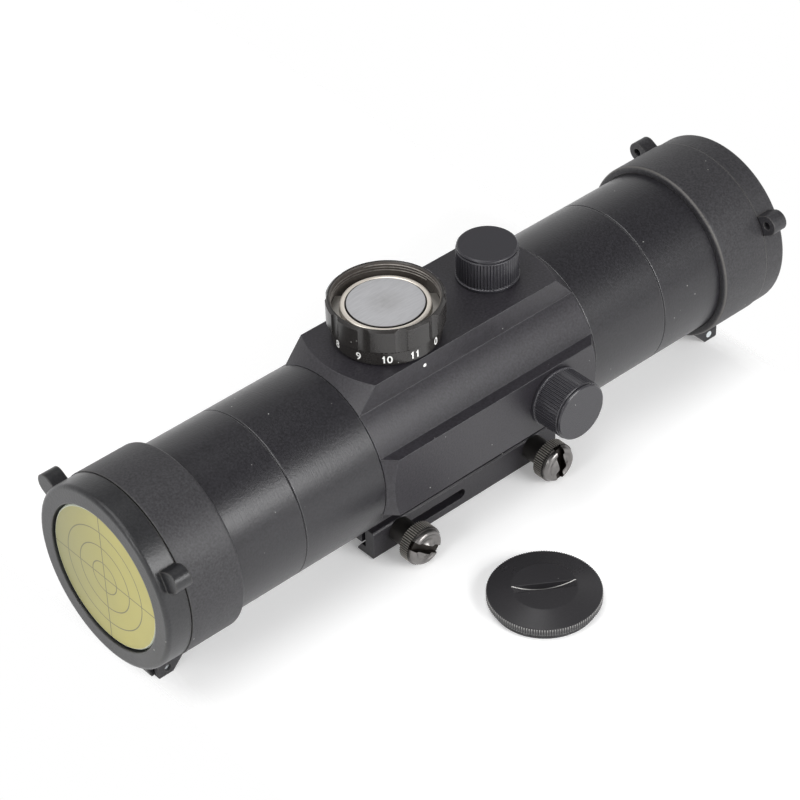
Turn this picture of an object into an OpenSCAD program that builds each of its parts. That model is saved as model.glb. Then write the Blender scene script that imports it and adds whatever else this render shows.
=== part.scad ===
// Tube red dot finder with flip lens caps, coin cell dial and rail clamp.
// The tube's axis runs along X and +X points at the target. The origin is the
// middle of the flat rail seat under the housing.

/* [Tube] */
// Outer diameter of the tube sections and of the housing's round part
tube_d = 40.4; // [38:0.2:46]
// Wall of the tube sections
tube_wall = 3; // [2.6:0.1:3.6]
// Length of the inner tube section on each side of the housing
mid_tube_l = 22.4; // [16:0.2:30]
// Length of the outer tube section on each side
end_tube_l = 31; // [27:0.2:40]
// Length of the spigot that screws one section into the next
spigot_l = 5; // [3:0.5:7]
// Depth of the lens seat below the tube's end
lens_depth = 7; // [6:0.2:9]
// Edge thickness of each lens
lens_edge = 3.2; // [2:0.2:4]

/* [Housing] */
// Length of the main housing
housing_l = 63.2; // [62:0.2:76]
// Rise of the flat top pad above the tube
top_pad_rise = 1.7; // [1.2:0.1:4]
// Width of the top pad
top_pad_w = 24.4; // [20:0.2:26]
// Rise of the flat side pad above the tube
side_pad_rise = 1.3; // [0.8:0.1:3]
// Height of the side pad's upper edge above the tube's axis
side_pad_up = 8; // [7.5:0.1:10]
// Depth of the side pad's lower edge below the tube's axis
side_pad_down = 7.4; // [7.4:0.1:8.4]
// Metal left between the bore and the outside of the round part
housing_wall = 3.6; // [3:0.1:4.4]

/* [Rail clamp] */
// Width across the top of the dovetail rail
rail_w = 11; // [9.6:0.1:13]
// Depth of the rail's undercut below its top
rail_undercut = 1.7; // [1.2:0.1:2.4]
// Height of the base block between the rail seat and the tube
base_h = 5.4; // [5:0.1:8]
// Length of the base block and of the clamp jaw
base_l = 56.2; // [48:0.2:60]
// Thickness of the jaw's upright plate
jaw_t = 2.8; // [2:0.1:4]
// Height of the jaw's top edge above the rail seat
jaw_top = 5.2; // [4.8:0.1:6.2]
// Distance that the jaw stands open
jaw_open = 1.2; // [0.4:0.1:2]
// Distance between the two clamp screws
screw_span = 41; // [30:0.5:44]
// Shank diameter of a clamp screw
shank_d = 3; // [2:0.1:3.4]
// Diameter of a clamp screw's collar
collar_d = 6; // [5:0.1:7]
// Length of a clamp screw's collar
collar_l = 5.3; // [3:0.1:7]
// Diameter of a clamp screw's knurled head
screw_head_d = 9.6; // [8.4:0.1:10.6]
// Length of the knurled band on a clamp screw's head
screw_head_l = 3; // [2:0.1:5]
// Length of the long slot in the jaw's plate
jaw_slot_l = 17; // [8:0.5:20]
// Width of the long slot in the jaw's plate
jaw_slot_w = 2.6; // [1.4:0.1:3]

/* [Lens caps] */
// Wall of the sleeve that slips over the tube
sleeve_wall = 1.8; // [1.5:0.1:3]
// Length of the sleeve
sleeve_l = 14; // [12:0.2:18]
// Depth of the lid
lid_l = 6.1; // [5.6:0.1:9]
// Diameter of the lid's window opening
lid_opening_d = 35.1; // [28:0.1:35.5]
// Gap round the raised middle of the window
window_gap = 0.45; // [0.2:0.05:2]
// Width of a lift lug
lift_lug_w = 5; // [4:0.2:7]
// Height of a lift lug above the lid
lift_lug_h = 4.6; // [3.4:0.1:6]
// Length of a lift lug
lift_lug_l = 4; // [3:0.1:5]
// Width across the hinge
hinge_w = 14.6; // [12:0.2:18]
// Thickness of each hinge ear on the sleeve
hinge_ear_t = 1.5; // [1.2:0.1:2.4]
// Radius of the hinge knuckle
knuckle_r = 1.7; // [1.6:0.1:2.4]
// Diameter of the hinge pin
hinge_pin_d = 1.7; // [1:0.1:2]

/* [Dial and cell] */
// Distance from the housing's rear end to the dial's middle
dial_set_back = 19; // [17:0.1:21]
// Height of the dial
dial_h = 9.9; // [9.4:0.1:12]
// Diameter of the coin cell
coin_d = 20; // [18:0.1:21]
// Thickness of the coin cell
coin_h = 3.2; // [2:0.1:3.2]
// Gap between the cell and the dial's well
well_gap = 2; // [1.4:0.1:2.4]
// Wall of the dial round its well
dial_wall = 1.1; // [1:0.1:2]
// Height of the plain band that carries the numbers
number_band_h = 3.3; // [2.6:0.1:3.4]
// Number of grip flutes round the dial
flutes = 10; // [4:1:12]
// Number of switch positions
switch_steps = 12; // [6:1:12]

/* [Turrets] */
// Distance from the housing's front end to the middle of both turrets
turret_set_back = 14.2; // [13:0.1:17]
// Diameter of a turret cap
turret_cap_d = 14.2; // [13:0.1:15]
// Height of a turret cap
turret_cap_h = 8.6; // [7:0.1:11]
// Wall of a turret cap
turret_wall = 0.9; // [0.7:0.1:1.4]
// Number of grip ribs round a turret cap
turret_ribs = 60; // [30:1:72]

/* [Loose battery cap] */
// Place of the loose cap along X
loose_x = -9.7; // [-30:0.1:30]
// Place of the loose cap along Y
loose_y = -46.4; // [-60:0.2:-44]
// Thickness of the cap's knurled rim
cap_rim_h = 1.7; // [1.2:0.05:2.2]
// Length of the cap's threaded neck
cap_neck_h = 1.6; // [1.2:0.1:3]
// Direction of the coin slot, from +X
cap_slot_angle = -34; // [-90:1:90]

/* [Hidden] */
$fn = 72;

black_anodised = [0.17, 0.17, 0.18];
black_moulded = [0.2, 0.2, 0.21];
black_steel = [0.22, 0.22, 0.22];
bright_steel = [0.78, 0.78, 0.76];
amber_clear = [0.93, 0.89, 0.6];
lens_tint = [0.75, 0.6, 0.45];
seal_black = [0.08, 0.08, 0.08];
board_green = [0.16, 0.36, 0.22];
brass_tone = [0.78, 0.64, 0.32];

// Clearances: a press or thread fit, a running shaft, a slip fit, a moving face
fit_gap = 0.02;
run_gap = 0.05;
slip_gap = 0.1;
face_gap = 0.2;
overlap = 0.6;

// Places along the tube
tube_r = tube_d / 2;
axis_h = base_h + tube_r;
half_housing = housing_l / 2;
dial_x = dial_set_back - half_housing;
turret_x = half_housing - turret_set_back;
mid_seam = half_housing + mid_tube_l;
tube_end = mid_seam + end_tube_l;
tube_in_r = tube_r - tube_wall;
spigot_r = tube_in_r + tube_wall / 2;
edge_break = 0.25;

// Housing
bore_r = tube_r - housing_wall;
top_h = tube_r + top_pad_rise;
side_h = tube_r + side_pad_rise;
cone_l = 8;

// Lens stack in the outer tube sections
seat_x = tube_end - lens_depth;
seat_t = 1.2;
seat_in_r = tube_in_r - 1.7;
seal_t = 0.8;
lens_r = tube_in_r - slip_gap;
lens_x = seat_x + seal_t;
ring_x = lens_x + lens_edge;
ring_t = 1.8;
lens_bulge = 1.1;

// Inner tube, its gimbal and the parts that push it
inner_play = 2.6;
inner_r = bore_r - inner_play;
inner_wall = 1.2;
inner_end_gap = 7.5;
inner_l = housing_l - 2 * inner_end_gap;
gimbal_set_back = 2.5;
gimbal_x = gimbal_set_back - inner_l / 2;
gimbal_l = 4;
gimbal_t = 1.6;
gimbal_in_r = inner_r + 0.3;
gimbal_r = gimbal_in_r + gimbal_t;
trunnion_r = 1;
trunnion_depth = 1.6;
spring_t = 0.4;
spring_gap = 1.1;
spring_l = 12;
spring_d = inner_r + spring_gap;
spring_w = 2 * sqrt(pow(bore_r - run_gap, 2) - pow(spring_d + spring_t, 2));

// Rail clamp, as distances from the rail's middle
rail_r = rail_w / 2;
neck_r = rail_r - 0.76 * rail_undercut;
claw_top = -0.2;
claw_tip = claw_top - rail_undercut;
claw_low = claw_tip - 0.4;
claw_edge = 0.6;
land_r = neck_r - 0.3;
relief_h = 0.4;
claw_ledge = 1.5;
block_r = rail_r + claw_ledge - slip_gap;
jaw_face = block_r + slip_gap + jaw_t + jaw_open;
claw_reach = jaw_t + claw_ledge + rail_r - neck_r;
screw_h = screw_head_d / 2 + claw_low;
screw_end = block_r - 1;
screw_top = collar_l + screw_head_l;
head_in_r = screw_head_d / 2 - 0.3 - run_gap;
face_ring_r = 0.78 * head_in_r;
face_valley_r = 0.6 * head_in_r;
ring_rise = 1.3;
valley_rise = 0.95;
nose_rise = 2.4;
screw_slot_w = 2;
screw_slot_floor = 0.3;
knurl_depth = screw_head_d / 2 - run_gap - head_in_r;
head_teeth = 52;
jaw_edge = 0.4;
jaw_slot_h = screw_h - 1.2;

// Lens caps
sleeve_in_r = tube_r + 0.03;
sleeve_r = tube_r + sleeve_wall;
sleeve_lip = 1.3;
sleeve_front = tube_end + sleeve_lip;
sleeve_back = sleeve_front - sleeve_l;
sleeve_lip_r = tube_in_r + 1.2;
lid_back = sleeve_front + face_gap;
lid_front = lid_back + lid_l;
lid_wall = 2.4;
lid_r = sleeve_r - 0.2;
lid_in_r = sleeve_r - 2;
lid_opening_r = lid_opening_d / 2;
window_recess = 0.5;
lid_edge_r = 1;
sleeve_edge_r = 0.8;
ear_cut = 0.2;
foot_l = 3.9;
window_t = 1.2;
window_r = lid_in_r - 0.6;
window_boss_r = lid_opening_r - window_gap;
hinge_x = sleeve_front - 2.6;
hinge_clear = 2.9;
hinge_drop = sleeve_r + knuckle_r + hinge_clear;
hinge_gap = 0.3;
ear_run = 9.8;
ear_root = 1;
foot_low = hinge_drop + knuckle_r;
arm_toe = 0.4;
arm_l = 3.4;
lift_angle = 61.5;
lift_hole_d = 2;
table_z = min(axis_h - foot_low, claw_low);

// Dial
dial_base = axis_h + top_h + face_gap;
well_r = coin_d / 2 + well_gap;
dial_r = well_r + dial_wall;
dial_top = dial_base + dial_h;
contact_t = 0.4;
coin_drop = 1.9;
coin_z = dial_top - coin_drop - coin_h;
floor_z = coin_z - contact_t;
floor_t = 1.6;
hub_r = 3;
hub_groove_r = 2.4;
board_r = 8.6;
board_t = 1;
pocket_h = 2.4;
clip_t = 0.6;
clip_r = hub_r + 1.2;
spotface_r = clip_r + 0.4;
clip_z = axis_h + sqrt(pow(bore_r, 2) - pow(spotface_r, 2)) + slip_gap;
spotface_z = clip_z + clip_t + slip_gap;
click_r = 10.6;
click_ball_r = 0.9;
click_hole_r = 1;
click_depth = 3.4;
board_top = axis_h + top_h - pocket_h + board_t;
wiper_t = 0.3;
wiper_r = 7;
wiper_z = floor_z - floor_t - wiper_t;
band_r = dial_r - 0.95;
flute_pitch = 360 / flutes;
flute_half = dial_r * sin(flute_pitch / 5.5);
flute_depth = 0.55;
flute_start = -116.5;
flute_r = (flute_half * flute_half + flute_depth * flute_depth) / (2 * flute_depth);
dial_edge = 0.25;
dial_chamfer = 0.5;
tab_w = 9;
tab_h = 2.2;
tab_t = 0.5;
tab_angle = -41;

// Turrets, as heights above their pad
cap_in_r = turret_cap_d / 2 - turret_wall;
boss_r = cap_in_r - face_gap;
bush_r = boss_r - 1;
boss_h = 3.5;
bush_depth = 4;
drum_r = bush_r - 0.85;
drum_floor = 0.8;
drum_h = 3;
drum_slot_h = 0.9;
drum_slot_w = 1;
lead_r = 2;
stem_r = 1.5;
lead_travel = 0.5;
flange_h = 0.8;
flange_step = 0.15;
lip_h = 0.55;
lip_edge = 0.3;
lip_set_in = 0.2;
lip_groove_w = 0.3;
lip_groove_depth = 0.55;
rib_bevel = 0.2;
rib_depth = 0.3;
turret_roof = 1.2;

// Battery cap
neck_thread_r = well_r - slip_gap;
cap_r = dial_r - 0.25;
cap_face_r = 0.57 * cap_r;
cap_cone_h = 1.1;
cap_h = cap_neck_h + cap_rim_h + cap_cone_h;
cap_roof = 2.4;
cap_cavity_r = neck_thread_r - 1.8;
cap_rib_depth = 0.25;
slot_len = 2 * cap_face_r - 0.8;
slot_h = 1.75;
slot_w = 2;
slot_arc_r = (pow(slot_len / 2, 2) + slot_h * slot_h) / (2 * slot_h);
cap_ribs = 140;
seal_r = 0.4;
cap_contact_t = 0.3;

// Turns a profile about the tube's axis: x is the radius, y the place along X
module tube_turn() {
  translate([0, 0, axis_h]) rotate([0, 90, 0]) rotate_extrude() children();
}

// Plain ring on the tube's axis
module tube_ring(x0, x1, r_in, r_out) {
  tube_turn() translate([r_in, x0]) square([r_out - r_in, x1 - x0]);
}

// Ring on the tube's axis with both outer edges broken
module seam_ring(x0, x1, r_in, r_out) {
  tube_turn() polygon([[r_in, x0], [r_out - edge_break, x0], [r_out, x0 + edge_break],
    [r_out, x1 - edge_break], [r_out - edge_break, x1], [r_in, x1]]);
}

// Places a front-end piece at the front (1) or mirrors it to the rear (-1)
module at_end(side) {
  mirror([side < 0 ? 1 : 0, 0, 0]) children();
}

module on_top_pad(x) {
  translate([x, 0, axis_h + top_h]) children();
}

module on_side_pad(x) {
  translate([x, -side_h, axis_h]) rotate([90, 0, 0]) children();
}

// Straight knurl: a toothed prism
module knurl(r, h, teeth, depth) {
  linear_extrude(h) polygon([for (i = [0 : 2 * teeth - 1])
    let (a = 180 * i / teeth, tip = i % 2 == 0 ? r : r - depth) tip * [cos(a), sin(a)]]);
}

// One unbroken tube wound along Z
module coil(r, wire_r, pitch, turns) {
  sides = 6;
  rings = 8 * turns;
  points = [for (i = [0 : rings], j = [0 : sides - 1])
    let (a = 45 * i, b = 360 * j / sides, q = r + wire_r * cos(b))
    [q * cos(a), q * sin(a), pitch * i / 8 + wire_r * sin(b)]];
  skin = [for (i = [0 : rings - 1], j = [0 : sides - 1])
    let (k = (j + 1) % sides, p = i * sides, n = p + sides)
    each [[p + j, n + j, n + k], [p + j, n + k, p + k]]];
  first = [for (j = [1 : sides - 2]) [0, j, j + 1]];
  last = [for (j = [1 : sides - 2]) rings * sides * [1, 1, 1] + [0, j + 1, j]];
  polyhedron(points, concat(skin, first, last));
}

// Round part, flat pads and their coned ends
module housing_shell() {
  intersection() {
    tube_turn() polygon([[0, -half_housing], [tube_r, -half_housing],
      [tube_r + cone_l, cone_l - half_housing], [tube_r + cone_l, half_housing - cone_l],
      [tube_r, half_housing], [0, half_housing]]);
    union() {
      tube_ring(-half_housing, half_housing, 0, tube_r);
      translate([-half_housing, -top_pad_w / 2, axis_h]) cube([housing_l, top_pad_w, top_h]);
      translate([-half_housing, -side_h, axis_h - side_pad_down])
        cube([housing_l, side_h, side_pad_up + side_pad_down]);
    }
  }
}

// Base block with the seat's raised land and the fixed claw on its left side
module rail_base() {
  outer = block_r + slip_gap + jaw_t;
  translate([-base_l / 2, 0, 0]) rotate([90, 0, 90]) linear_extrude(base_l)
    polygon([[-block_r, axis_h - bore_r], [-block_r, relief_h], [-land_r, relief_h], [-land_r, 0],
      [land_r, 0], [land_r, relief_h], [rail_r, relief_h], [rail_r, claw_top], [neck_r, claw_tip],
      [neck_r, claw_low], [outer - claw_edge, claw_low], [outer, claw_low + claw_edge],
      [outer, axis_h - bore_r]]);
}

module main_housing() {
  color(black_anodised) difference() {
    union() {
      housing_shell();
      rail_base();
    }
    tube_ring(-half_housing - 1, half_housing + 1, 0, bore_r);
    for (side = [-1, 1]) at_end(side)
      tube_ring(half_housing - spigot_l - slip_gap, half_housing + 1, 0, spigot_r + fit_gap);
    // Switch pocket, hub hole and its spot face inside, click hole and wire hole
    on_top_pad(dial_x) translate([0, 0, -pocket_h]) cylinder(r = board_r + slip_gap, h = pocket_h + 1);
    translate([dial_x, 0, axis_h]) cylinder(r = hub_r + run_gap, h = top_h);
    translate([dial_x, 0, axis_h]) cylinder(r = spotface_r, h = spotface_z - axis_h);
    on_top_pad(dial_x) translate([0, -click_r, -click_depth])
      cylinder(r = click_hole_r, h = click_depth + 1);
    translate([dial_x + board_r - 2, 0, axis_h]) cylinder(r = 0.8, h = top_h - 1);
    // Turret holes
    on_top_pad(turret_x) translate([0, 0, -top_h]) cylinder(r = bush_r + fit_gap, h = top_h + 1);
    on_side_pad(turret_x) translate([0, 0, -side_h]) cylinder(r = bush_r + fit_gap, h = side_h + 1);
    // Clamp screw holes
    for (side = [-1, 1]) translate([side * screw_span / 2, jaw_face, screw_h]) rotate([90, 0, 0])
      cylinder(r = shank_d / 2 + run_gap, h = 2 * jaw_face);
    // Gimbal trunnion holes
    translate([gimbal_x, 0, axis_h - bore_r - trunnion_depth])
      cylinder(r = trunnion_r + run_gap, h = 2 * (bore_r + trunnion_depth));
  }
}

// Inner tube section: spigot into the housing, socket for the next section
module mid_tube(side) {
  color(black_anodised) at_end(side) difference() {
    union() {
      seam_ring(half_housing, mid_seam, tube_in_r, tube_r);
      tube_ring(half_housing - spigot_l, half_housing + overlap, tube_in_r, spigot_r);
    }
    tube_ring(mid_seam - spigot_l - slip_gap, mid_seam + 1, 0, spigot_r + fit_gap);
  }
}

// Outer tube section: spigot, lens seat and lens well
module end_tube(side) {
  color(black_anodised) at_end(side) {
    seam_ring(mid_seam, tube_end, tube_in_r, tube_r);
    tube_ring(mid_seam - spigot_l, mid_seam + overlap, tube_in_r, spigot_r);
    tube_ring(seat_x - seat_t, seat_x, seat_in_r, tube_in_r + overlap);
  }
}

module rear_tube() { mid_tube(-1); }
module front_tube() { mid_tube(1); }
module eyepiece_tube() { end_tube(-1); }
module objective_tube() { end_tube(1); }

// Flat eyepiece window
module eyepiece_window() {
  color(lens_tint) at_end(-1) tube_turn() polygon([[0, lens_x], [lens_r, lens_x],
    [lens_r, ring_x], [0, ring_x]]);
}

// Coated objective with a domed outer face
module objective_lens() {
  dome = (pow(lens_r, 2) + pow(lens_bulge, 2)) / (2 * lens_bulge);
  color(lens_tint) {
    tube_ring(lens_x, ring_x, 0, lens_r);
    tube_turn() intersection() {
      translate([0, ring_x + lens_bulge - dome]) circle(dome, $fn = 200);
      translate([0, ring_x - overlap]) square([seat_in_r - 1, lens_bulge + 2]);
    }
  }
}

module lens_seal(side) {
  color(seal_black) at_end(side) tube_ring(seat_x, lens_x, seat_in_r, seat_in_r + seal_t);
}

// Threaded ring with two spanner notches
module lens_ring(side) {
  color(black_anodised) at_end(side) difference() {
    tube_ring(ring_x, ring_x + ring_t, seat_in_r, lens_r);
    for (a = [0, 180]) translate([0, 0, axis_h]) rotate([a, 0, 0])
      translate([ring_x + ring_t / 2, -0.8, 0]) cube([ring_t, 1.6, tube_r]);
  }
}

module eyepiece_seal() { lens_seal(-1); }
module objective_seal() { lens_seal(1); }
module eyepiece_ring() { lens_ring(-1); }
module objective_ring() { lens_ring(1); }

// Ring that lets the inner tube swing left and right on two upright trunnions
module gimbal_ring() {
  color(brass_tone) difference() {
    union() {
      tube_ring(gimbal_x - gimbal_l / 2, gimbal_x + gimbal_l / 2, gimbal_in_r, gimbal_r);
      for (a = [0, 180]) translate([gimbal_x, 0, axis_h]) rotate([a, 0, 0])
        translate([0, 0, gimbal_in_r + overlap])
          cylinder(r = trunnion_r, h = bore_r + trunnion_depth - face_gap - gimbal_in_r - overlap);
    }
    translate([gimbal_x, -gimbal_r - 1, axis_h]) rotate([-90, 0, 0])
      cylinder(r = trunnion_r + run_gap, h = 2 * gimbal_r + 2);
  }
}

// Inner tube with the two level trunnions that it tilts on
module inner_tube() {
  color(black_anodised) {
    tube_ring(-inner_l / 2, inner_l / 2, inner_r - inner_wall, inner_r);
    for (a = [90, -90]) translate([gimbal_x, 0, axis_h]) rotate([a, 0, 0])
      translate([0, 0, inner_r - overlap])
        cylinder(r = trunnion_r, h = gimbal_r - inner_r + overlap - slip_gap);
  }
}

led_ahead = 6;
led_x = gimbal_x + led_ahead;
led_r = 1.5;
led_l = 4.6;
led_lift = 3.2;
led_drop = inner_r - inner_wall - led_lift;
bracket_l = 4;
bracket_w = 5.2;
bracket_rise = 2.4;

// Block on the inner tube's floor that aims the diode at the objective
module led_bracket() {
  color(black_moulded) difference() {
    intersection() {
      translate([led_x - bracket_l / 2, -bracket_w / 2, axis_h - inner_r])
        cube([bracket_l, bracket_w, inner_r - led_drop + bracket_rise]);
      tube_ring(led_x - bracket_l, led_x + bracket_l, 0, inner_r - inner_wall - fit_gap);
    }
    translate([led_x - bracket_l, 0, axis_h - led_drop]) rotate([0, 90, 0])
      cylinder(r = led_r + fit_gap, h = 2 * bracket_l);
  }
}

module led_emitter() {
  color([0.8, 0.12, 0.1]) translate([led_x - bracket_l / 2, 0, axis_h - led_drop]) rotate([0, 90, 0]) {
    cylinder(r = led_r, h = led_l);
    translate([0, 0, led_l]) sphere(r = led_r);
  }
}

// Flat leaf that bears on the bore and presses the inner tube to the screws
module return_spring() {
  color(bright_steel) translate([turret_x - spring_l / 2, 0, axis_h]) rotate([45, 0, 0])
    translate([0, -spring_w / 2, -spring_d - spring_t]) cube([spring_l, spring_w, spring_t]);
}

// Contact disc of the rotary switch
module switch_board() {
  color(board_green) on_top_pad(dial_x) translate([0, 0, -pocket_h]) difference() {
    cylinder(r = board_r, h = board_t);
    translate([0, 0, -1]) cylinder(r = hub_r + face_gap, h = board_t + 2);
    translate([board_r - 2, 0, -1]) cylinder(r = 0.8, h = board_t + 2);
  }
}

module click_ball() {
  color(bright_steel) on_top_pad(dial_x) translate([0, -click_r, slip_gap - click_ball_r])
    sphere(r = click_ball_r);
}

click_wire_r = 0.15;
click_pitch = 0.75;
click_turns = 2;

module click_spring() {
  color(bright_steel) on_top_pad(dial_x) translate([0, -click_r, click_wire_r - click_depth])
    coil(click_ball_r - 2 * click_wire_r, click_wire_r, click_pitch, click_turns);
}

// Dial with number band, wider fluted grip, coin cell well, click dimples and hub
module brightness_dial() {
  skirt_r = click_r - 1.4;
  roof_low = floor_z - floor_t - dial_base;
  roof_top = floor_z - dial_base;
  hub_low = clip_z - slip_gap;
  color(black_anodised) translate([dial_x, 0, 0]) difference() {
    union() {
      translate([0, 0, dial_base]) rotate_extrude() polygon([[0, roof_low], [skirt_r, roof_low],
        [skirt_r, 0], [band_r - dial_edge, 0], [band_r, dial_edge], [band_r, number_band_h],
        [dial_r, number_band_h + dial_r - band_r], [dial_r, dial_h - dial_chamfer],
        [dial_r - dial_chamfer, dial_h], [well_r + dial_edge, dial_h], [well_r, dial_h - dial_edge],
        [well_r, roof_top], [0, roof_top]]);
      translate([0, 0, hub_low]) cylinder(r = hub_r, h = floor_z - hub_low - overlap);
    }
    for (i = [0 : flutes - 1]) rotate([0, 0, flute_start + flute_pitch * i])
      translate([dial_r - flute_depth + flute_r, 0, dial_base + number_band_h])
        cylinder(r = flute_r, h = dial_h);
    for (i = [0 : switch_steps - 1]) rotate([0, 0, 360 * (i + 0.5) / switch_steps])
      translate([0, -click_r, dial_base - click_ball_r / 2]) sphere(r = click_ball_r);
    translate([0, 0, clip_z]) difference() {
      cylinder(r = hub_r + 1, h = clip_t);
      cylinder(r = hub_groove_r, h = clip_t);
    }
  }
}

// Spring washer under the dial whose fingers wipe the switch board
module dial_wiper() {
  finger_low = board_top + face_gap;
  color(brass_tone) translate([dial_x, 0, 0]) {
    translate([0, 0, wiper_z]) difference() {
      cylinder(r = wiper_r, h = wiper_t);
      translate([0, 0, -1]) cylinder(r = hub_r + slip_gap, h = wiper_t + 2);
    }
    for (a = [30, 150, 270]) rotate([0, 0, a]) translate([wiper_r - 2, -0.7, finger_low])
      cube([0.5, 1.4, wiper_z + wiper_t / 2 - finger_low]);
  }
}

// Retaining ring in the hub's groove
module dial_clip() {
  color(bright_steel) translate([dial_x, 0, clip_z]) difference() {
    cylinder(r = clip_r, h = clip_t);
    translate([0, 0, -1]) cylinder(r = hub_groove_r + fit_gap, h = clip_t + 2);
    translate([0, -0.6, -1]) cube([clip_r + 1, 1.2, clip_t + 2]);
  }
}

// Sheet contact on the well's floor with two bent-out tabs that centre the cell
module battery_contact() {
  tab_in = coin_d / 2 + slip_gap;
  tab_out = well_r - slip_gap;
  color(bright_steel) translate([dial_x, 0, floor_z]) {
    cylinder(r = tab_out, h = contact_t);
    intersection() {
      rotate_extrude() polygon([[tab_in, 0], [tab_in + tab_t, 0], [tab_in + tab_t, tab_h - tab_t],
        [tab_out, tab_h - tab_t], [tab_out, tab_h], [tab_in, tab_h]]);
      rotate([0, 0, tab_angle]) translate([-dial_r, -tab_w / 2, 0]) cube([2 * dial_r, tab_w, tab_h]);
    }
  }
}

// Coin cell: wide can below, raised smaller face on top, dark seam between them
module coin_cell() {
  can_r = coin_d / 2;
  can_edge = 0.2;
  lip_drop = 0.3;
  face_r = 0.87 * can_r;
  face_step = 0.1;
  face_edge = 0.15;
  seam_w = 0.15;
  lip_top = coin_h - face_step;
  seam_low = lip_top - 2 * lip_drop;
  lip_r = (can_r + face_r + seam_w) / 2;
  lip_half = can_r - lip_r;
  lip = [for (a = [0 : 15 : 180]) [lip_r + lip_half * cos(a), lip_top - lip_drop + lip_drop * sin(a)]];
  color(bright_steel) translate([dial_x, 0, coin_z]) rotate_extrude() polygon([[0, 0],
    [can_r - can_edge, 0], [can_r, can_edge], each lip, [face_r + seam_w, seam_low],
    [face_r, seam_low], [face_r, coin_h - face_edge], [face_r - face_edge, coin_h], [0, coin_h]]);
}

module at_loose_cap() {
  translate([loose_x, loose_y, table_z]) children();
}

// Screw cap of the cell's well, lying on its neck: knurled rim, coned top, coin slot
module battery_cap() {
  rim_top = cap_neck_h + cap_rim_h;
  cone_r = cap_r - cap_rib_depth - run_gap;
  color(black_anodised) at_loose_cap() difference() {
    union() {
      cylinder(r = neck_thread_r, h = cap_neck_h + overlap);
      translate([0, 0, cap_neck_h]) knurl(cap_r, cap_rim_h, cap_ribs, cap_rib_depth);
      rotate_extrude() polygon([[0, rim_top - overlap], [cone_r, rim_top - overlap], [cone_r, rim_top],
        [cap_face_r, cap_h], [0, cap_h]]);
    }
    translate([0, 0, -1]) cylinder(r = cap_cavity_r, h = cap_h - cap_roof + 1);
    translate([0, 0, cap_neck_h - 2 * seal_r]) difference() {
      cylinder(r = neck_thread_r + 1, h = 2 * seal_r);
      cylinder(r = neck_thread_r - seal_r, h = 2 * seal_r);
    }
    rotate([0, 0, cap_slot_angle]) translate([0, slot_w / 2, cap_h - slot_h + slot_arc_r])
      rotate([90, 0, 0]) cylinder(r = slot_arc_r, h = slot_w, $fn = 160);
  }
}

module battery_cap_seal() {
  color(seal_black) at_loose_cap() translate([0, 0, cap_neck_h - seal_r]) rotate_extrude()
    translate([neck_thread_r, 0]) circle(seal_r - fit_gap, $fn = 32);
}

// Sheet contact under the cap's roof
module battery_cap_contact() {
  color(bright_steel) at_loose_cap() translate([0, 0, cap_h - cap_roof - cap_contact_t])
    cylinder(r = cap_cavity_r - slip_gap, h = cap_contact_t);
}

// Bush that screws into a pad: boss for the cap's thread, drum well, screw guide
module turret_seat() {
  color(black_anodised) rotate_extrude() polygon([[lead_r + run_gap, -bush_depth],
    [bush_r, -bush_depth], [bush_r, 0], [boss_r, 0], [boss_r, boss_h], [drum_r + run_gap, boss_h],
    [drum_r + run_gap, drum_floor], [lead_r + run_gap, drum_floor]]);
}

// Click drum with a coin slot, turned to adjust
module turret_adjuster() {
  color(brass_tone) translate([0, 0, drum_floor + run_gap]) difference() {
    cylinder(r = drum_r, h = drum_h);
    translate([0, 0, -1]) cylinder(r = stem_r + run_gap, h = drum_h);
    translate([-drum_r - 1, -drum_slot_w / 2, drum_h - drum_slot_h])
      cube([2 * drum_r + 2, drum_slot_w, 2]);
  }
}

// Lead screw that the drum drives in and out against the inner tube
module turret_screw(pad_h) {
  nose = inner_r + run_gap - pad_h;
  shoulder = drum_floor - lead_travel - slip_gap;
  stem_top = drum_floor + drum_h - drum_slot_h - lead_travel - 0.5;
  color(bright_steel) rotate_extrude() polygon([[0, nose], [lead_r - 0.5, nose],
    [lead_r, nose + 0.5], [lead_r, shoulder], [stem_r, shoulder], [stem_r, stem_top], [0, stem_top]]);
}

// Ribbed dust cap that screws onto the seat's boss, with a groove under its lip
module turret_cap() {
  cap_od = turret_cap_d / 2;
  shell_r = cap_od - run_gap;
  core_r = shell_r - rib_depth;
  groove_r = cap_od - lip_groove_depth;
  lip_r = cap_od - lip_set_in;
  groove_top = turret_cap_h - lip_h;
  groove_low = groove_top - lip_groove_w;
  rib_top = groove_low - rib_bevel;
  color(black_anodised) difference() {
    union() {
      translate([0, 0, slip_gap]) cylinder(r = cap_od + flange_step, h = flange_h - slip_gap);
      translate([0, 0, flange_h - overlap])
        knurl(cap_od, rib_top - flange_h + overlap, turret_ribs, rib_depth);
      rotate_extrude() polygon([[0, flange_h - overlap], [core_r, flange_h - overlap],
        [core_r, rib_top - rib_depth], [shell_r, rib_top], [shell_r - rib_bevel, groove_low],
        [groove_r, groove_low], [groove_r, groove_top], [lip_r, groove_top],
        [lip_r, turret_cap_h - lip_edge], [lip_r - lip_edge, turret_cap_h], [0, turret_cap_h]]);
    }
    translate([0, 0, -1]) cylinder(r = cap_in_r, h = turret_cap_h - turret_roof + 1);
  }
}

module elevation_seat() { on_top_pad(turret_x) turret_seat(); }
module windage_seat() { on_side_pad(turret_x) turret_seat(); }
module elevation_adjuster() { on_top_pad(turret_x) turret_adjuster(); }
module windage_adjuster() { on_side_pad(turret_x) turret_adjuster(); }
module elevation_screw() { on_top_pad(turret_x) turret_screw(top_h); }
module windage_screw() { on_side_pad(turret_x) turret_screw(side_h); }
module elevation_cap() { on_top_pad(turret_x) turret_cap(); }
module windage_cap() { on_side_pad(turret_x) turret_cap(); }

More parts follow.
